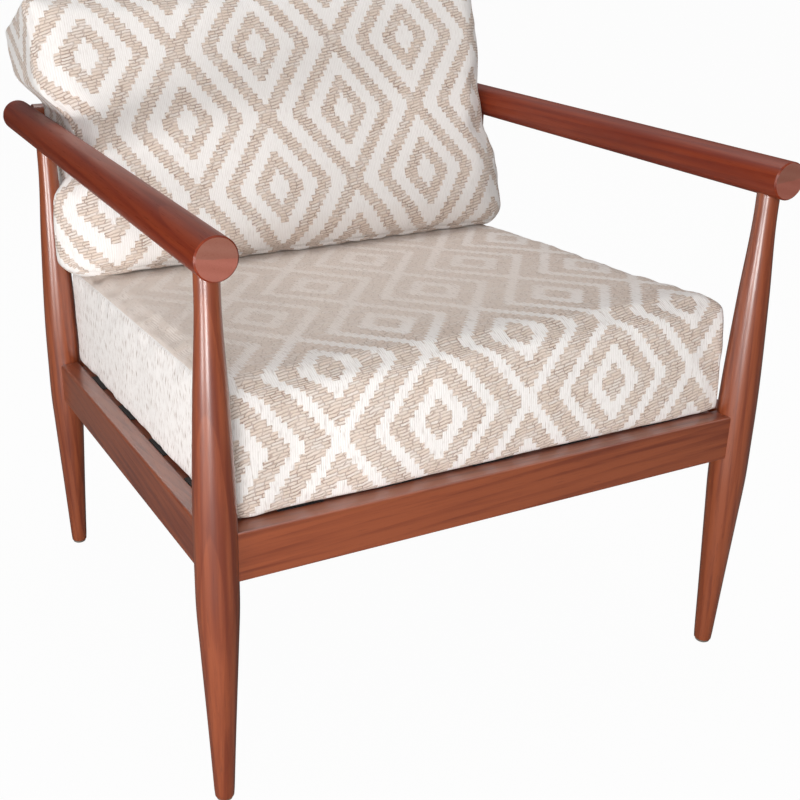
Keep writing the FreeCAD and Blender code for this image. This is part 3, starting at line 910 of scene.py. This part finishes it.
def staples(spots):
    """Wire staples on the straps' ends, one at each spot: x, y, z and turn."""
    tree, entry = geometry_tree(
        "staple_rows",
        [("Geometry", "Geometry"), ("Crown", "Float"), ("Wire", "Float"), ("Material", "Material")])
    crown, thick = Wire(tree, entry["Crown"]), Wire(tree, entry["Wire"])
    parts = tree.nodes.new("GeometryNodeJoinGeometry")
    bar = wire(tree, "GeometryNodeMeshCube", {"Size": join(crown, thick, thick)}, "Mesh")
    feed(tree, parts.inputs[0], bar)
    across, *level = STAPLE_LEG_PLACE
    for side in (-across, across):
        leg = wire(tree, "GeometryNodeMeshCube", {"Size": STAPLE_LEG}, "Mesh")
        shift = {"Geometry": leg, "Translation": (side, *level)}
        feed(tree, parts.inputs[0], wire(tree, "GeometryNodeTransform", shift))
    turn = wire(tree, "GeometryNodeInputNamedAttribute", {"Name": "turn"}, data_type="FLOAT")
    spin = wire(tree, "ShaderNodeCombineXYZ", {2: turn})
    end_tree(tree, entry, {
        "Points": entry["Geometry"], "Instance": parts.outputs[0], "Rotation": spin})
    mesh = bpy.data.meshes.new("staple_spots")
    mesh.from_pydata([(x, y, z + STAPLE_RISE) for x, y, z, _ in spots], [], [])
    mesh.attributes.new("turn", "FLOAT", "POINT").data.foreach_set("value", [spot[3] for spot in spots])
    return grown("strap_staples", mesh, tree, {
        "Crown": STAPLE_CROWN, "Wire": STAPLE_WIRE, "Material": zip_metal_material()})


def row_tree():
    """A straight row of small bars, every other one set off sideways."""
    if "bar_row" in bpy.data.node_groups:
        return bpy.data.node_groups["bar_row"]
    tree, entry = geometry_tree(
        "bar_row", [("Start", "Vector"), ("Step", "Vector"), ("Count", "Int"), ("Bar", "Vector"),
                    ("Stagger", "Vector"), ("Material", "Material")])
    line = wire(tree, "GeometryNodeMeshLine", {
        "Count": entry["Count"], "Start Location": entry["Start"], "Offset": entry["Step"]})
    odd = wire(tree, "GeometryNodeInputIndex").math("MODULO", 2.0)
    shift = wire(
        tree, "ShaderNodeVectorMath", {0: entry["Stagger"], "Scale": odd}, operation="SCALE")
    points = wire(tree, "GeometryNodeSetPosition", {"Geometry": line, "Offset": shift})
    bar = wire(tree, "GeometryNodeMeshCube", {"Size": entry["Bar"]}, "Mesh")
    return end_tree(tree, entry, {"Points": points, "Instance": bar})


def bar_row(name, **values):
    """One row made by the tree, in the seat's frame."""
    return grown(name, bpy.data.meshes.new(name + "_row"), row_tree(), values)


# Cushions

def box_grid(counts):
    """Surface points of a box as shares of its sides, its quads and each quad's (axis, end)."""
    lookup = {}
    faces = []
    sides = []
    for axis, end in itertools.product(range(3), (0, 1)):
        b, c = (axis + 1) % 3, (axis + 2) % 3
        for i, j in itertools.product(range(counts[b]), range(counts[c])):
            ring = []
            for di, dj in ((0, 0), (1, 0), (1, 1), (0, 1)):
                cell = [0, 0, 0]
                cell[axis], cell[b], cell[c] = end * counts[axis], i + di, j + dj
                ring.append(lookup.setdefault(tuple(cell), len(lookup)))
            faces.append(tuple(ring if end else ring[::-1]))
            sides.append((axis, end))
    shares = np.array(list(lookup), float) / np.array(counts, float)
    return shares, faces, sides


def round_box(points, half, radius):
    """Box surface points moved onto the same box with rounded edges."""
    core = np.clip(points, -(half - radius), half - radius)
    away = points - core
    return core + away / np.linalg.norm(away, axis=1, keepdims=True) * radius


def ease(value, low, high):
    t = np.clip((value - low) / (high - low), 0, 1)
    return t * t * (3 - 2 * t)


def coordinates_of(mesh):
    flat = np.empty(len(mesh.vertices) * 3)
    mesh.vertices.foreach_get("co", flat)
    return flat.reshape(-1, 3)


def set_coordinates(mesh, points):
    mesh.vertices.foreach_set("co", np.asarray(points, float).ravel())
    mesh.update()


CLOTH_SETTINGS = {
    "quality": 5, "mass": 0.3, "tension_stiffness": 12, "compression_stiffness": 12, "shear_stiffness": 6,
    "bending_stiffness": 0.4, "use_pressure": True, "vertex_group_mass": "held",
}
CLOTH_FRAMES = 20
# Shares of the simulated movement that are kept: along the cloth, and inward
SLIP = 0.1
SINK = 0.15


def normals_of(mesh):
    return np.array([vertex.normal for vertex in mesh.vertices])


def swell(piece, pressure, reach, held):
    """Fills a closed cover by cloth simulation and keeps each point within reach of its start."""
    start = coordinates_of(piece.data)
    normals = normals_of(piece.data)
    scene = bpy.context.scene
    group = piece.vertex_groups.new(name="held")
    group.add([int(index) for index in held], 1.0, "REPLACE")
    modifier = piece.modifiers.new("Fill", "CLOTH")
    for name, value in CLOTH_SETTINGS.items():
        setattr(modifier.settings, name, value)
    modifier.settings.uniform_pressure_force = pressure
    modifier.settings.effector_weights.gravity = 0
    modifier.collision_settings.use_collision = False
    modifier.point_cache.frame_start = 1
    modifier.point_cache.frame_end = CLOTH_FRAMES
    for number in range(1, CLOTH_FRAMES + 1):
        scene.frame_set(number)
    graph = bpy.context.evaluated_depsgraph_get()
    swollen = coordinates_of(piece.evaluated_get(graph).data)
    piece.modifiers.remove(modifier)
    piece.vertex_groups.remove(group)
    scene.frame_set(1)
    move = swollen - start
    outward = np.sum(move * normals, axis=1, keepdims=True)
    move = (move - outward * normals) * SLIP + np.maximum(outward, SINK * outward) * normals
    length = np.linalg.norm(move, axis=1, keepdims=True) + 1e-9
    return start + move * (reach * np.tanh(length / reach) / length)


def subdivide(piece):
    """Gives the piece one level of subdivision, as a plain mesh."""
    modifier = piece.modifiers.new("Smooth", "SUBSURF")
    modifier.levels = 1
    modifier.render_levels = 1
    mesh = evaluated(piece)
    piece.modifiers.remove(modifier)
    piece.data = mesh


# Distances from a seam: where it draws the cloth in, where puckers start and how far they reach
SEAM_REACH = 0.004
PUCKER_START = 0.006
PUCKER_REACH = 0.022
# Waves per metre of the puckers and of the broad unevenness, and the depth of the latter
PUCKER_WAVES = 42
BROAD_WAVES = 11
BROAD_DEPTH = 0.0016


def sew(piece):
    """The points with the seams drawn in and the cloth puckered beside them."""
    mesh = piece.data
    mesh.update()
    near = np.empty(len(mesh.vertices))
    mesh.attributes["to_seam"].data.foreach_get("value", near)
    points = coordinates_of(mesh)
    drawn = cloth().seam * np.exp(-(near / SEAM_REACH) ** 2)
    band = np.exp(-near / PUCKER_REACH) * (1 - np.exp(-near / PUCKER_START))
    ripple = np.array([noise.noise(Vector(point) * PUCKER_WAVES) for point in points])
    broad = np.array([noise.noise(Vector(point) * BROAD_WAVES + Vector((3, 1, 7))) for point in points])
    shift = -drawn + band * ripple * cloth().pucker * 2 + broad * BROAD_DEPTH
    return points + normals_of(mesh) * shift[:, None]


class Cushion:
    """A closed cover on a grid round the box from low to high, in the cushion's own frame."""
    # Finish of the two ends along x
    end_finish = 0

    def box(self, shares):
        """Points of the box at the given shares of its sides."""
        return self.low + (self.high - self.low) * shares

    def to_ends(self, shares):
        """Distances along x, y and z to the nearer side of the box."""
        points = self.box(shares)
        return np.minimum(points - self.low, self.high - points).T

    def cover(self, name, counts, materials):
        """The cover before it is filled, with cloth coordinates and distances to the seams."""
        shares, faces, sides = box_grid(counts)
        finishes = [0 if axis else self.end_finish for axis, _ in sides]
        piece = new_piece(name, (self.shape(shares), faces), materials, finishes, 180)
        flat = []
        for face, side in zip(faces, sides):
            for index in face:
                flat += self.cloth_place(shares[index], side)
        piece.data.uv_layers.new(name="cloth").data.foreach_set("uv", flat)
        values = piece.data.attributes.new("to_seam", "FLOAT", "POINT")
        values.data.foreach_set("value", self.to_seam(shares))
        return piece, shares

    def fill(self, piece, under, reach, place):
        """Fills the cover, held at its under side, then sews it and puts it in place."""
        held = np.nonzero(under)[0]
        set_coordinates(piece.data, self.fit(swell(piece, cloth().fill, reach, held)))
        subdivide(piece)
        set_coordinates(piece.data, self.fit(sew(piece)))
        piece.data.transform(place)


class CHAIR_OT_seat_cushion(Cushion, bpy.types.Operator):
    """Sew and fill the seat cushion"""
    bl_idname = "chair.seat_cushion"
    bl_label = "Seat cushion"

    low = np.array((-0.3060, -0.0060, 0.0006))
    high = np.array((0.3060, 0.5395, 0.1290))
    end_finish = 1
    # Room for the filled cushion: half its width at the legs, and limits along y and z
    half_width = 0.2980
    along = (-0.0075, 0.5402)
    upward = (0.0004, 0.1363)
    # Extra width towards the top and behind the front legs, and over which heights and depths it comes
    top_bulge, top_span = 0.0038, (0.03, 0.115)
    rear_bulge, rear_span = 0.0060, (0.02, 0.08)
    # Radius of the long edges at the bottom, and how much more it is at the top
    edge_radius, edge_growth = 0.006, 0.010

    def shape(self, shares):
        """A box with a soft front and rear, cut straight at its sewn sides."""
        middle = (self.low + self.high) / 2
        half = (self.high - self.low)[1:] / 2
        points = self.box(shares) - middle
        radius = self.edge_radius + self.edge_growth * shares[:, 2:] ** 2
        core = np.clip(points[:, 1:], radius - half, half - radius)
        away = points[:, 1:] - core
        reach = np.abs(away).max(axis=1, keepdims=True)
        points[:, 1:] = core + away * reach / (np.linalg.norm(away, axis=1, keepdims=True) + 1e-12)
        return points + middle

    def cloth_place(self, share, side):
        """The top runs over the front and the rear. The ends are pieces of their own."""
        x, y, z = self.box(share)
        back, drop = y - self.low[1], self.high[2] - z
        deep, tall = self.high[1] - self.low[1], self.high[2] - self.low[2]
        if side[0] == 0:
            return [y, z]
        if side[0] == 1:
            return [x, deep + drop] if side[1] else [x, -drop]
        return [x, back] if side[1] else [x, -tall - back]

    def to_seam(self, shares):
        x, y, z = self.to_ends(shares)
        return np.where(x < TINY, np.minimum(y, z), x)

    def fit(self, points):
        """Keeps the cushion between the legs, on the webbing and under the back cushion."""
        x, y, z = points.T
        room = self.half_width + np.maximum(
            self.top_bulge * ease(z, *self.top_span), self.rear_bulge * ease(y, *self.rear_span))
        return np.stack((np.clip(x, -room, room), np.clip(y, *self.along), np.clip(z, *self.upward)), 1)

    def rubbed(self, shares):
        """How clear the pattern stays under painted sheen: 1 at the front, less towards the back of the
        top and along its left edge, where painted sheen flattens the pattern.
        """
        x, y, _ = self.box(shares).T
        back = y - self.low[1]
        # Painted sheen: the top's pattern fades from the front edge backwards, less on the right, and more
        # along the left edge
        clear_of_sheen = 1 - 0.78 * ease(back, 0.01, 0.15) * (1 - 0.4 * ease(x, 0.1, 0.28))
        return clear_of_sheen * (1 - 0.5 * ease(-x, 0.20, 0.29) * ease(back, 0.02, 0.06))

    def execute(self, context):
        top = weave_material(
            "seat_weave_cloth", (0.0735, 0.0660, 0), "rubbed", Core=0.27, Inner_Ring=0.54, Outer_Ring=0.88,
            Edge=1.11, Swap=1.0, Fibre=0.35)
        # Rings as far out as this are never met, so the ends are plain
        never = 9.0
        end = weave_material(
            "seat_side_cloth", (0, 0, 0), None, Core=never, Inner_Ring=never, Outer_Ring=never, Edge=never,
            Fibre=0.9)
        piece, shares = self.cover("seat_cushion_woven", (74, 68, 16), [top, end])
        # Painted sheen over the seat's top, carried to the material by this attribute
        worn = piece.data.attributes.new("rubbed", "FLOAT", "POINT")
        worn.data.foreach_set("value", self.rubbed(shares))
        self.fill(piece, shares[:, 2] < TINY, cloth().seat_swell, SEAT)
        settle(piece, "seat_cushion", "seat_weave", "seat_cushion_cover", "seat_cushion_foam")
        return {"FINISHED"}


class CHAIR_OT_back_cushion(Cushion, bpy.types.Operator):
    """Sew and fill the back cushion"""
    bl_idname = "chair.back_cushion"
    bl_label = "Back cushion"

    low = np.array((-0.318, -0.2250, 0.0250))
    high = np.array((0.318, 0.1180, 0.1690))
    # The seat cushion's top in this frame: its slope from y to z and its height at z = 0
    seat_slope = -0.34972
    seat_level = -0.18427
    # Room for the filled cushion: half its width between the arms, its top, and limits along z
    half_width = 0.2988
    top = 0.1215
    forward = (0.0187, 0.1845)
    # Extra width on the left and on the right: above the arms, and under them in front of the rear legs
    above_bulges, above_span = (0.0320, 0.0090), (0.604, 0.650)
    below_bulges, below_span, leg_span = (0.0360, 0.0130), (0.520, 0.562), (0.150, 0.190)
    # Radius of the edges at the top, how much more it is at the bottom, and the reach past the room
    edge_radius, edge_growth = 0.013, 0.029
    squeeze = 0.003

    def room(self, points):
        """How far out the cushion may reach at each point, between, above and under the arms."""
        _, y, z = (points @ np.array(BACK.to_3x3()).T + np.array(BACK.translation)).T
        left = points[:, 0] < 0
        above = ease(z, *self.above_span)
        below = (1 - ease(z, *self.below_span)) * (1 - ease(y, *self.leg_span))
        return (self.half_width + np.where(left, *self.above_bulges) * above
                + np.where(left, *self.below_bulges) * below)

    def shape(self, shares):
        """A rounded box that lies on the seat and reaches just past its room at the ends."""
        middle = (self.low + self.high) / 2
        half = (self.high - self.low) / 2
        radius = self.edge_radius + self.edge_growth * (1 - shares[:, 1:2]) ** 2
        points = round_box(self.box(shares) - middle, half, radius) + middle
        up = (points[:, 1] - self.low[1]) / (self.high[1] - self.low[1])
        points[:, 1] += (1 - up) * self.seat_slope * (points[:, 2] - middle[2])
        points[:, 0] += (self.room(points) + self.squeeze - half[0]) * (points[:, 0] / half[0]) ** 7
        return points

    def cloth_place(self, share, side):
        """The front runs over all four edges."""
        x, y, z = self.box(share)
        deep = self.high[2] - z
        if side[0] == 0:
            return [x + math.copysign(deep, x), y]
        if side[0] == 1:
            return [x, y + deep] if side[1] else [x, y - deep]
        return [x, y]

    def to_seam(self, shares):
        x, y, z = self.to_ends(shares)
        rim = np.minimum(x, y)
        return np.where(rim < TINY, z, rim)

    def fit(self, points):
        """Keeps the cushion off the arms, the legs, the crossbar and the seat."""
        fitted = points.copy()
        fitted[:, 2] = np.clip(points[:, 2], *self.forward)
        seat = self.seat_level + self.seat_slope * fitted[:, 2] + 0.0004
        fitted[:, 1] = np.maximum(np.minimum(points[:, 1], self.top), seat)
        room = self.room(fitted)
        fitted[:, 0] = np.clip(fitted[:, 0], -room, room)
        return fitted

    def execute(self, context):
        weave = weave_material("back_weave_cloth", (0.0445, 0.1357, 0))
        piece, shares = self.cover("back_cushion_woven", (80, 44, 18), [weave])
        self.fill(piece, shares[:, 1] < TINY, cloth().back_swell, BACK)
        settle(piece, "back_cushion", "back_weave", "back_cushion_cover", "back_cushion_foam")
        return {"FINISHED"}


class CHAIR_OT_zip(bpy.types.Operator):
    """Sew the zip into the seat cover's rear boxing"""
    bl_idname = "chair.zip"
    bl_label = "Zip"

    # The tape in the seat's frame: its near face, half its width, its thickness
    rear = 0.5409
    half_wide = 0.014
    thick = 0.0008
    # The slider's plate: shares of its length with half widths, then levels with scales
    plate_sides = (
        (0.0, 0.0040), (0.04, 0.0045), (0.35, 0.0044), (0.62, 0.0034), (0.94, 0.0026), (1.0, 0.0020))
    plate_levels = ((0.0, 0.92), (0.0004, 1.0), (0.0012, 1.0), (0.0016, 0.9))
    # The slider's bridge: half its length, its rise inside, its foot's level, and its section
    bridge_reach = 0.0042
    bridge_rise = 0.0014
    bridge_foot = 0.0013
    bridge_section = ((0.0, -0.0011), (0.0006, -0.0011), (0.0006, 0.0011), (0.0, 0.0011))

    def execute(self, context):
        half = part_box("seat_zip_tape")[1].x
        level = (SEAT.inverted() @ box_middle("seat_zip_tape")).z
        face, wide = self.rear + self.thick, self.half_wide
        rows = [(self.rear, -wide + 0.0003), (face, -wide + 0.0006)]
        rows += [(face, wide * share) for share in (-0.6, -0.2, 0.2, 0.6)]
        rows += [(face, wide - 0.0006), (self.rear, wide - 0.0003)]
        shell = skin([[(x, y, level + z) for y, z in rows] for x in np.linspace(half, -half, 89)])
        tape = new_piece("seat_zip_ribbon", moved(shell, SEAT), [tape_material()])
        settle(tape, "seat_cushion", "zip_tape", "seat_zip_tape")
        teeth = bar_row(
            "seat_zip_teeth", Start=(-half + 0.002, face + 0.0007, level - 0.0007), Step=(0.0022, 0, 0),
            Count=199, Bar=(0.0012, 0.0014, 0.0036), Stagger=(0, 0, 0.0014), Material=zip_metal_material())
        settle(teeth, "seat_cushion", "zip_metal")
        thread = thread_material()
        for rise, name in ((-0.0105, "lower"), (0.0105, "upper")):
            stitches = bar_row(
                "seat_zip_stitches_" + name, Start=(-half + 0.003, face + 0.0001, level + rise),
                Step=(0.0036, 0, 0), Count=121, Bar=(0.0026, 0.0005, 0.0006), Stagger=(0, 0, 0),
                Material=thread)
            settle(stitches, "seat_cushion", "seat_weave")
        self.slider()
        return {"FINISHED"}

    def slider(self):
        """The slider: a waisted plate with turned edges and a bridge."""
        low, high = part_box("seat_zip_slider")
        _, deep, level = SEAT.inverted() @ box_middle("seat_zip_slider")
        base = deep - self.plate_levels[-1][0]
        centre = (low.x + high.x) / 2
        upper = [(low.x + share * (high.x - low.x) - centre, half) for share, half in self.plate_sides]
        outline = upper + [(x, -half) for x, half in reversed(upper)]
        plate = [[(centre + x * scale, base + rise, level + z * scale) for x, z in outline]
                 for rise, scale in self.plate_levels]
        bridge = []
        for angle in np.radians(range(0, 181, 20)):
            x = centre - self.bridge_reach * math.cos(angle)
            bridge.append([
                (x, base + self.bridge_foot + (self.bridge_rise + out) * math.sin(angle), level + z)
                for out, z in self.bridge_section])
        shell = merged((skin(plate), skin(bridge)))
        piece = new_piece("zip_slider_bridge", moved(shell, SEAT), [zip_metal_material()])
        shell = bmesh.new()
        shell.from_mesh(piece.data)
        bmesh.ops.recalc_face_normals(shell, faces=shell.faces)
        shell.to_mesh(piece.data)
        shell.free()
        settle(piece, "seat_zip_slider", "zip_metal", "seat_zip_slider")


class CHAIR_OT_stage(bpy.types.Operator):
    """Set up the floor, the lamps and the camera"""
    bl_idname = "chair.stage"
    bl_label = "Stage"

    floor_reach = 14.0
    # Each lamp's setting, its place, what it points at and its width
    lamps = (
        ("key", (-1.4, -2.6, 1.4), (0, 0, 0.4), 0.9),
        ("low", (-1.3, -1.7, 0.25), (-0.1, -0.2, 0.35), 0.4),
        ("side", (-2.1, -1.0, 0.25), (-0.1, -0.2, 0.35), 0.4),
        ("top", (0.25, 0.5, 2.7), (0, 0, 0.4), 1.4),
        ("fill", (2.4, -1.4, 1.6), (0, 0, 0.4), 1.6),
    )

    def floor(self, stage):
        """White to the camera, pale for light that falls on it, dull in reflections."""
        reach = self.floor_reach
        mesh = bpy.data.meshes.new("floor")
        mesh.from_pydata([(-reach, -reach, 0), (reach, -reach, 0), (reach, reach, 0), (-reach, reach, 0)],
                         [], [(0, 1, 2, 3)])
        material, tree, _ = new_material("pale_floor")
        tree.nodes.clear()
        shade = mixed(seen_by(tree, "Glossy") * 0.7, linear(stage.floor), (0, 0, 0, 1))
        mix = wire(tree, "ShaderNodeMixShader", {
            0: seen_by(tree, "Camera", "Transmission") * 0.97,
            1: wire(tree, "ShaderNodeBsdfDiffuse", {"Color": shade}),
            2: wire(tree, "ShaderNodeEmission")})
        add_node(tree, "ShaderNodeOutputMaterial", {"Surface": mix})
        mesh.materials.append(material)
        floor = put("floor", mesh)

    def surround(self, stage):
        """White to the camera, even for light, brighter overhead in reflections."""
        world = bpy.data.worlds.new("studio")
        bpy.context.scene.world = world
        world.use_nodes = True
        tree = world.node_tree
        tree.nodes.clear()
        height = split(wire(tree, "ShaderNodeTexCoord", out="Generated"))[2]
        overhead = height.ease(0.2, 0.85) * 0.9 + 0.1
        light = seen_by(tree, "Glossy") * (overhead - stage.world) + stage.world
        strength = light.math("MAXIMUM", seen_by(tree, "Camera", "Transmission"))
        sky = wire(tree, "ShaderNodeBackground", {"Color": (1, 1, 1, 1), "Strength": strength})
        add_node(tree, "ShaderNodeOutputWorld", {"Surface": sky})

    def lamp(self, name, place, target, across, watts):
        data = bpy.data.lights.new(name, "AREA")
        data.energy = watts
        data.shape = "SQUARE"
        data.size = across
        lamp = put(name, data)
        aim = (Vector(target) - Vector(place)).to_track_quat("-Z", "Y")
        lamp.matrix_world = Matrix.Translation(place) @ aim.to_matrix().to_4x4()
        lamp.visible_camera = False


    def camera(self, stage):
        turn, tip, lean = (math.radians(angle) for angle in (stage.heading, stage.pitch, stage.roll))
        aim = Matrix.Rotation(-turn, 4, "Z") @ Matrix.Rotation(QUARTER - tip, 4, "X")
        data = bpy.data.cameras.new("camera")
        data.lens = stage.lens
        data.sensor_width = 36
        data.shift_x = stage.shift_x
        data.shift_y = stage.shift_y
        camera = put("camera", data)
        camera.matrix_world = (
            Matrix.Translation(stage.camera_place) @ aim @ Matrix.Rotation(lean, 4, "Z"))
        bpy.context.scene.camera = camera

    def execute(self, context):
        stage = context.scene.chair_stage
        context.scene.view_settings.view_transform = "Standard"
        self.floor(stage)
        self.surround(stage)
        for name, place, target, across in self.lamps:
            self.lamp(name + "_lamp", place, target, across, getattr(stage, name))
        self.camera(stage)
        return {"FINISHED"}


PIECES = (
    CHAIR_OT_legs, CHAIR_OT_arms, CHAIR_OT_back_frame, CHAIR_OT_rails, CHAIR_OT_webbing,
    CHAIR_OT_seat_cushion, CHAIR_OT_back_cushion, CHAIR_OT_zip, CHAIR_OT_stage,
)


class CHAIR_PT_panel(bpy.types.Panel):
    """Lists the chair's pieces and the stage"""
    bl_label = "Easy Chair"
    bl_idname = "CHAIR_PT_panel"
    bl_space_type = "VIEW_3D"
    bl_region_type = "UI"
    bl_category = "Easy Chair"

    def draw(self, context):
        for piece in PIECES:
            self.layout.operator(piece.bl_idname)


SETTINGS = {"chair_wood": ChairWood, "chair_cloth": ChairCloth, "chair_stage": ChairStage}


def register():
    for name, group in SETTINGS.items():
        bpy.utils.register_class(group)
        setattr(bpy.types.Scene, name, bpy.props.PointerProperty(type=group))
    for piece in (*PIECES, CHAIR_PT_panel):
        bpy.utils.register_class(piece)


def unregister():
    for piece in reversed((*PIECES, CHAIR_PT_panel)):
        bpy.utils.unregister_class(piece)
    for name, group in SETTINGS.items():
        delattr(bpy.types.Scene, name)
        bpy.utils.unregister_class(group)


def main():
    register()
    for piece in PIECES:
        group, name = piece.bl_idname.split(".")
        getattr(getattr(bpy.ops, group), name)()
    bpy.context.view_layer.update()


if __name__ == "__main__":
    main()
